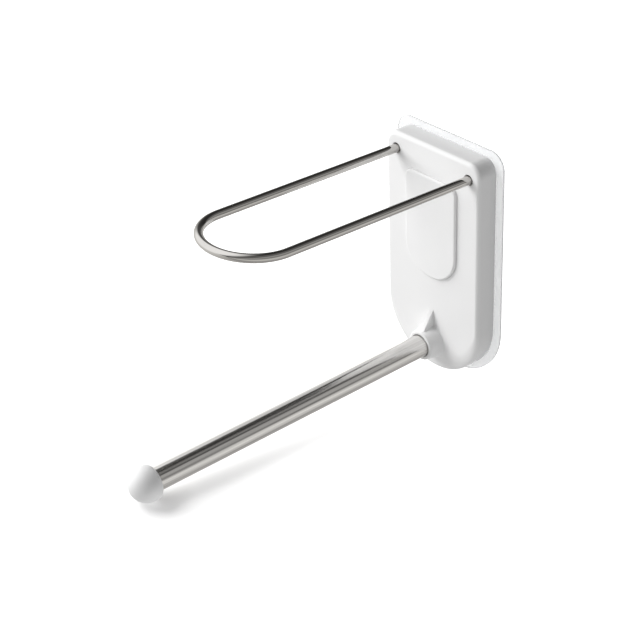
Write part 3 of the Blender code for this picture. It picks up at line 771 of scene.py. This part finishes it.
def drawn_steel(name, colour, roughness, along, depth=0.000004, vary=0.03, brushed=0.0, streaks=0.0):
    """Polished drawn steel: fine lines along the piece and a slightly uneven polish.

    A brushed piece was polished around, so it blurs what it mirrors along its length.
    """
    made, tree, shader = shader_of(name, colour, roughness, 1.0)
    if brushed:
        shader.inputs["Anisotropic"].default_value = brushed
        shader.inputs["Anisotropic Rotation"].default_value = 0.25
        around = tree.nodes.new("ShaderNodeTangent")
        around.direction_type = "RADIAL"
        around.axis = "Y"
        tree.links.new(around.outputs["Tangent"], shader.inputs["Tangent"])
    lines = noise(tree, 900.0, 3.0, along)
    broad = noise(tree, 60.0, 2.0)
    darker = tuple(channel * (0.94 - streaks) for channel in colour)
    tint(tree, lines if streaks else broad, darker, colour, shader)
    polish = spread(tree, lines, max(0.02, roughness - vary), roughness + vary)
    tree.links.new(polish, shader.inputs["Roughness"])
    bump(tree, lines, shader, 0.25, depth)
    return made


def plated(name, colour, roughness):
    """Zinc plate: a faint spangle and fine rolled lines."""
    made, tree, shader = shader_of(name, colour, roughness, 1.0)
    cells = tree.nodes.new("ShaderNodeTexVoronoi")
    cells.inputs["Scale"].default_value = 420.0
    place = tree.nodes.new("ShaderNodeTexCoord")
    tree.links.new(place.outputs["Object"], cells.inputs["Vector"])
    step = tree.nodes.new("ShaderNodeMapRange")
    step.inputs["From Max"].default_value = 1.0
    step.inputs["To Min"].default_value = roughness - 0.07
    step.inputs["To Max"].default_value = roughness + 0.09
    tree.links.new(cells.outputs["Distance"], step.inputs["Value"])
    tree.links.new(step.outputs["Result"], shader.inputs["Roughness"])
    lines = noise(tree, 1400.0, 2.0, (1.0, 1.0, 0.08))
    darker = tuple(channel * 0.88 for channel in colour)
    tint(tree, noise(tree, 240.0, 2.0), darker, colour, shader)
    bump(tree, lines, shader, 0.3, 0.000008)
    return made


def clear_plastic(name, colour, roughness, alpha, edge_alpha, rim=0.0):
    """Clear plastic that grows denser where it is seen along its surface, as its edges do.

    Rim is how dense the cut edges are, the faces that do not look along Y, and how far painted shade
    darkens them there.
    """
    made, tree, shader = shader_of(name, colour, roughness)
    shader.inputs["IOR"].default_value = 1.49
    facing = tree.nodes.new("ShaderNodeLayerWeight")
    facing.inputs["Blend"].default_value = 0.35
    dense = tree.nodes.new("ShaderNodeMapRange")
    dense.inputs["To Min"].default_value = alpha
    dense.inputs["To Max"].default_value = edge_alpha
    tree.links.new(facing.outputs["Facing"], dense.inputs["Value"])
    haze = noise(tree, 130.0, 3.0)
    tint(tree, haze, tuple(channel * 0.985 for channel in colour), colour, shader)
    tree.links.new(spread(tree, haze, roughness, roughness + 0.05), shader.inputs["Roughness"])
    bump(tree, haze, shader, 0.04, 0.00001)
    place = tree.nodes.new("ShaderNodeTexCoord")
    split = tree.nodes.new("ShaderNodeSeparateXYZ")
    tree.links.new(place.outputs["Normal"], split.inputs["Vector"])
    flat = tree.nodes.new("ShaderNodeMath")
    flat.operation = "ABSOLUTE"
    tree.links.new(split.outputs["Y"], flat.inputs[0])
    cut = tree.nodes.new("ShaderNodeMapRange")
    cut.inputs["From Min"].default_value = 0.4
    cut.inputs["From Max"].default_value = 0.95
    cut.inputs["To Min"].default_value = rim
    cut.inputs["To Max"].default_value = 0.0
    tree.links.new(flat.outputs["Value"], cut.inputs["Value"])
    # Painted shade: the cut edges are mixed towards a dark grey, standing in for the darkening that
    # refraction gives them
    painted_edge_shade = tree.nodes.new("ShaderNodeMix")
    painted_edge_shade.data_type = "RGBA"
    painted_edge_shade.inputs["B"].default_value = CUT_EDGE_PAINTED_SHADE
    tree.links.new(cut.outputs["Result"], painted_edge_shade.inputs["Factor"])
    tree.links.new(shader.inputs["Base Color"].links[0].from_socket, painted_edge_shade.inputs["A"])
    tree.links.new(painted_edge_shade.outputs["Result"], shader.inputs["Base Color"])
    denser = tree.nodes.new("ShaderNodeMath")
    denser.operation = "MAXIMUM"
    tree.links.new(dense.outputs["Result"], denser.inputs[0])
    tree.links.new(cut.outputs["Result"], denser.inputs[1])
    tree.links.new(denser.outputs["Value"], shader.inputs["Alpha"])
    return made


def foam(name, colour):
    made, tree, shader = shader_of(name, colour, 0.95)
    cells = noise(tree, 2200.0, 4.0)
    tint(tree, cells, tuple(channel * 0.8 for channel in colour), colour, shader)
    bump(tree, cells, shader, 0.7, 0.00006)
    return made


def rubber(name):
    made, tree, shader = shader_of(name, (0.03, 0.03, 0.03), 0.7)
    grain = noise(tree, 2400.0, 3.0)
    tint(tree, grain, (0.022, 0.022, 0.022), (0.04, 0.04, 0.04), shader)
    bump(tree, grain, shader, 0.4, 0.00002)
    return made


def dress(made, material):
    made.data.materials.clear()
    made.data.materials.append(material)
    return made


def dress_node(node, material):
    for slot in node.material_slots:
        slot.link = "OBJECT"
        slot.material = material


def place_pieces(finish):
    """Makes the fine pieces that stand for CAD nodes, each with its body, slot and material."""
    loop = swept("towel_loop", loop_path(), WIRE_RADIUS)
    smooth(loop, 40)
    rows = (
        (holder_shell(), "holder", "housing", "white_plastic"),
        (cover_panel(), "holder", "front_cover", "cover_plastic"),
        (loop, "holder", "wire_loop", "bright_wire"),
        (roll_tube(), "holder", "tube", "tube_steel"),
        (ball_end(), "cap", "end_cap", "cap_plastic"),
        (carrier_sheet(), "wall_mount", "clear_sheet", "clear_sheet"),
    )
    for piece, body, node, slot_name in rows:
        dress(piece, finish[slot_name])
        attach(piece, body)
        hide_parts(node)


def dress_nodes(finish):
    slots = {row["node"]: row["material_slot"] for row in frame["record"]["subparts"]}
    for name, node in frame["nodes"].items():
        dress_node(node, finish[slots[name]])
        if len(node.data.polygons) > ROUND_FACES:
            smooth(node, 30)


def materials():
    return {
        "gel": clear_plastic("gel_finish", (0.86, 0.87, 0.88), 0.25, 0.08, 0.28),
        "clear_sheet": clear_plastic("sheet_finish", (0.80, 0.81, 0.82), 0.06, 0.13, 0.85, rim=0.8),
        "foam": foam("foam_finish", (0.75, 0.76, 0.78)),
        "mount_plastic": moulded("mount_finish", (0.80, 0.80, 0.80), 0.5),
        "white_plastic": moulded("housing_finish", (0.86, 0.86, 0.86), 0.36),
        "cover_plastic": moulded("cover_finish", (0.87, 0.87, 0.87), 0.34),
        "cap_plastic": moulded("cap_finish", (0.86, 0.86, 0.86), 0.45, soft=0.6),
        "zinc_plate": plated("zinc_finish", (0.60, 0.61, 0.62), 0.38),
        "fastener_steel": plated("screw_finish", (0.58, 0.58, 0.56), 0.32),
        "bright_wire": drawn_steel("wire_finish", (0.60, 0.585, 0.565), 0.05, (1.0, 0.03, 1.0), vary=0.02),
        "tube_steel": drawn_steel(
            "tube_finish", (0.86, 0.845, 0.825), 0.14, (1.0, 0.01, 1.0), brushed=0.95, streaks=0.20
        ),
        "nylon": moulded("nylon_finish", (0.82, 0.81, 0.77), 0.5),
        "black_rubber": rubber("rubber_finish"),
    }


# Floor, light and camera


def floor():
    """A pale floor that the sheet's lower edge and the ball end rest on, with a painted glow that is dim
    under the ball end and brighter further off.
    """
    low_y, low_z = SHEET_HIGH.y, SHEET_LOW.z
    ball_y, ball_z = CAP_LOW.y + CAP_RADIUS, CAP_LOW.z
    pitch = math.atan2(low_z - ball_z, low_y - ball_y)
    middle = Vector((0.0, (low_y + ball_y) / 2, (low_z + ball_z) / 2 - FLOOR_DROP))
    bpy.ops.mesh.primitive_plane_add(size=FLOOR_SIZE, location=middle, rotation=(pitch, 0.0, 0.0))
    made = bpy.context.object
    made.name = "floor"
    surface, tree, shader = shader_of("floor_painted_glow", (0.90, 0.90, 0.90), 0.9)
    shader.inputs["Specular IOR Level"].default_value = 0.0
    place = tree.nodes.new("ShaderNodeTexCoord")
    away = tree.nodes.new("ShaderNodeVectorMath")
    away.operation = "DISTANCE"
    away.inputs[1].default_value = (0.0, -math.hypot(low_y - ball_y, low_z - ball_z) / 2, 0.0)
    tree.links.new(place.outputs["Object"], away.inputs[0])
    # Painted light and shade: the floor glows by its distance from under the ball end, least there, so the
    # shadow beside the ball end shows and the tube's shadow fades further off
    glow = tree.nodes.new("ShaderNodeValToRGB")
    stops = glow.color_ramp.elements
    stops[1].position, stops[1].color = 1.0, (1.0, 1.0, 1.0, 1.0)
    for index, (distance, level) in enumerate(PAINTED_FLOOR_GLOW):
        stop = stops[0] if index == 0 else stops.new(distance)
        stop.position = distance
        stop.color = (level, level, level, 1.0)
    tree.links.new(away.outputs["Value"], glow.inputs["Fac"])
    tree.links.new(glow.outputs["Color"], shader.inputs["Emission Color"])
    shader.inputs["Emission Strength"].default_value = 1.0
    made.data.materials.append(surface)
    made.visible_glossy = False
    made.visible_diffuse = False
    return made


def lamp(name, place, target, size, power):
    data = bpy.data.lights.new(name, "AREA")
    data.shape = "RECTANGLE"
    data.size, data.size_y = size
    data.energy = power
    made = new_object(name, data)
    made.location = place
    made.rotation_mode = "QUATERNION"
    made.rotation_quaternion = (Vector(target) - Vector(place)).to_track_quat("-Z", "Y")
    return made


def surroundings():
    """The room: white to the eye, a soft even fill, and for reflections a dim studio.

    The studio is told by the angle about the Y axis from straight up, towards +X.
    """
    world = bpy.data.worlds.new("studio")
    bpy.context.scene.world = world
    world.use_nodes = True
    tree = world.node_tree
    tree.nodes.clear()
    place = tree.nodes.new("ShaderNodeTexCoord")
    split = tree.nodes.new("ShaderNodeSeparateXYZ")
    tree.links.new(place.outputs["Generated"], split.inputs["Vector"])
    angle = tree.nodes.new("ShaderNodeMath")
    angle.operation = "ARCTAN2"
    tree.links.new(split.outputs["X"], angle.inputs[0])
    tree.links.new(split.outputs["Z"], angle.inputs[1])
    turn = tree.nodes.new("ShaderNodeMapRange")
    turn.inputs["From Min"].default_value = -math.pi
    turn.inputs["From Max"].default_value = math.pi
    tree.links.new(angle.outputs["Value"], turn.inputs["Value"])
    ramp = tree.nodes.new("ShaderNodeValToRGB")
    stops = ramp.color_ramp.elements
    while len(stops) > 1:
        stops.remove(stops[-1])
    for index, (degrees, level) in enumerate(STUDIO):
        share = (degrees + 180) / 360
        stop = stops[0] if index == 0 else stops.new(share)
        stop.position = share
        stop.color = (level * 1.01, level, level * 0.975, 1.0)
    tree.links.new(turn.outputs["Result"], ramp.inputs["Fac"])
    toward = tree.nodes.new("ShaderNodeVectorMath")
    toward.operation = "DOT_PRODUCT"
    toward.inputs[1].default_value = Vector(FILL_SIDE).normalized()
    tree.links.new(place.outputs["Generated"], toward.inputs[0])
    soft = tree.nodes.new("ShaderNodeMapRange")
    soft.inputs["From Min"].default_value = -1.0
    soft.inputs["From Max"].default_value = 1.0
    soft.inputs["To Min"].default_value = FILL_FROM_ABOVE
    soft.inputs["To Max"].default_value = FILL_FROM_BELOW
    tree.links.new(toward.outputs["Value"], soft.inputs["Value"])
    near_key = tree.nodes.new("ShaderNodeVectorMath")
    near_key.operation = "DOT_PRODUCT"
    near_key.inputs[1].default_value = Vector(KEY_SIDE).normalized()
    tree.links.new(place.outputs["Generated"], near_key.inputs[0])
    softbox = tree.nodes.new("ShaderNodeMapRange")
    softbox.interpolation_type = "SMOOTHSTEP"
    softbox.inputs["From Min"].default_value = SOFTBOX_START
    softbox.inputs["From Max"].default_value = SOFTBOX_FULL
    tree.links.new(near_key.outputs["Value"], softbox.inputs["Value"])
    mirrored = tree.nodes.new("ShaderNodeMix")
    mirrored.data_type = "RGBA"
    mirrored.inputs["B"].default_value = (SOFTBOX, SOFTBOX, SOFTBOX, 1.0)
    tree.links.new(softbox.outputs["Result"], mirrored.inputs["Factor"])
    tree.links.new(ramp.outputs["Color"], mirrored.inputs["A"])
    path = tree.nodes.new("ShaderNodeLightPath")
    fill = tree.nodes.new("ShaderNodeMix")
    fill.data_type = "RGBA"
    tree.links.new(soft.outputs["Result"], fill.inputs["A"])
    tree.links.new(path.outputs["Is Glossy Ray"], fill.inputs["Factor"])
    tree.links.new(mirrored.outputs["Result"], fill.inputs["B"])
    seen = tree.nodes.new("ShaderNodeMix")
    seen.data_type = "RGBA"
    seen.inputs["B"].default_value = (1.0, 1.0, 1.0, 1.0)
    tree.links.new(path.outputs["Is Camera Ray"], seen.inputs["Factor"])
    tree.links.new(fill.outputs["Result"], seen.inputs["A"])
    back = tree.nodes.new("ShaderNodeBackground")
    tree.links.new(seen.outputs["Result"], back.inputs["Color"])
    out = tree.nodes.new("ShaderNodeOutputWorld")
    tree.links.new(back.outputs["Background"], out.inputs["Surface"])


def camera():
    azimuth, elevation, roll = CAMERA_AZIMUTH, CAMERA_ELEVATION, CAMERA_ROLL
    level = Vector((math.cos(azimuth), math.sin(azimuth), 0.0))
    back = Vector(
        (
            math.sin(azimuth) * math.cos(elevation),
            -math.cos(azimuth) * math.cos(elevation),
            math.sin(elevation),
        )
    )
    above = back.cross(level)
    right = level * math.cos(roll) + above * math.sin(roll)
    up = above * math.cos(roll) - level * math.sin(roll)
    data = bpy.data.cameras.new("camera")
    data.lens = CAMERA_LENS
    data.sensor_width = 36.0
    data.clip_end = 50.0
    made = new_object("camera", data)
    made.rotation_mode = "QUATERNION"
    made.rotation_quaternion = Matrix((right, up, back)).transposed().to_quaternion()
    made.location = CAMERA_PLACE
    bpy.context.scene.camera = made


def linked(name, members, state="INCLUDE"):
    """A collection that a lamp's light or shadow is limited to, or kept away from."""
    group = bpy.data.collections.new(name)
    for member in members:
        group.objects.link(member)
    for row in group.collection_objects:
        row.light_linking.link_state = state
    return group


def light(ground):
    """A large soft lamp from the left and small ones that each light only some pieces.

    The floor's lamp is shaded by the tube and the ball end only. The strip is mirrored in the
    tube's upper side, the bounce is what the floor throws back on the ball end, and the last
    one lights the layers at the back through the clear sheet.
    """
    ball, tube = bpy.data.objects["ball_end"], bpy.data.objects["roll_tube"]
    key = lamp("key", KEY_PLACE, TARGET, KEY_SIZE, KEY_POWER)
    key.visible_glossy = False
    key.light_linking.receiver_collection = linked("not_on_floor", [ground], "EXCLUDE")
    low = lamp("floor_key", FLOOR_LAMP_PLACE, TARGET, FLOOR_LAMP_SIZE, FLOOR_POWER)
    low.light_linking.receiver_collection = linked("on_floor", [ground])
    low.light_linking.blocker_collection = linked("floor_blockers", [ball, tube])
    strip = lamp("strip", STRIP_PLACE, TARGET, STRIP_SIZE, STRIP_POWER)
    strip.light_linking.receiver_collection = linked("on_tube", [tube])
    bounce = lamp("bounce", BOUNCE_PLACE, BOUNCE_TARGET, BOUNCE_SIZE, BOUNCE_POWER)
    bounce.light_linking.receiver_collection = linked("on_ball", [ball])
    bounce.light_linking.blocker_collection = linked("ball_blockers", [ball, tube])
    back = lamp("back", BACK_PLACE, BACK_TARGET, BACK_SIZE, BACK_POWER)
    behind = [*frame["nodes"].values(), bpy.data.objects["carrier_sheet"]]
    back.light_linking.receiver_collection = linked("on_layers", behind)


finish = materials()
place_pieces(finish)
dress_nodes(finish)
ground = floor()
surroundings()
light(ground)
camera()
bpy.context.scene.view_settings.view_transform = "Standard"
bpy.context.scene.view_settings.look = "None"
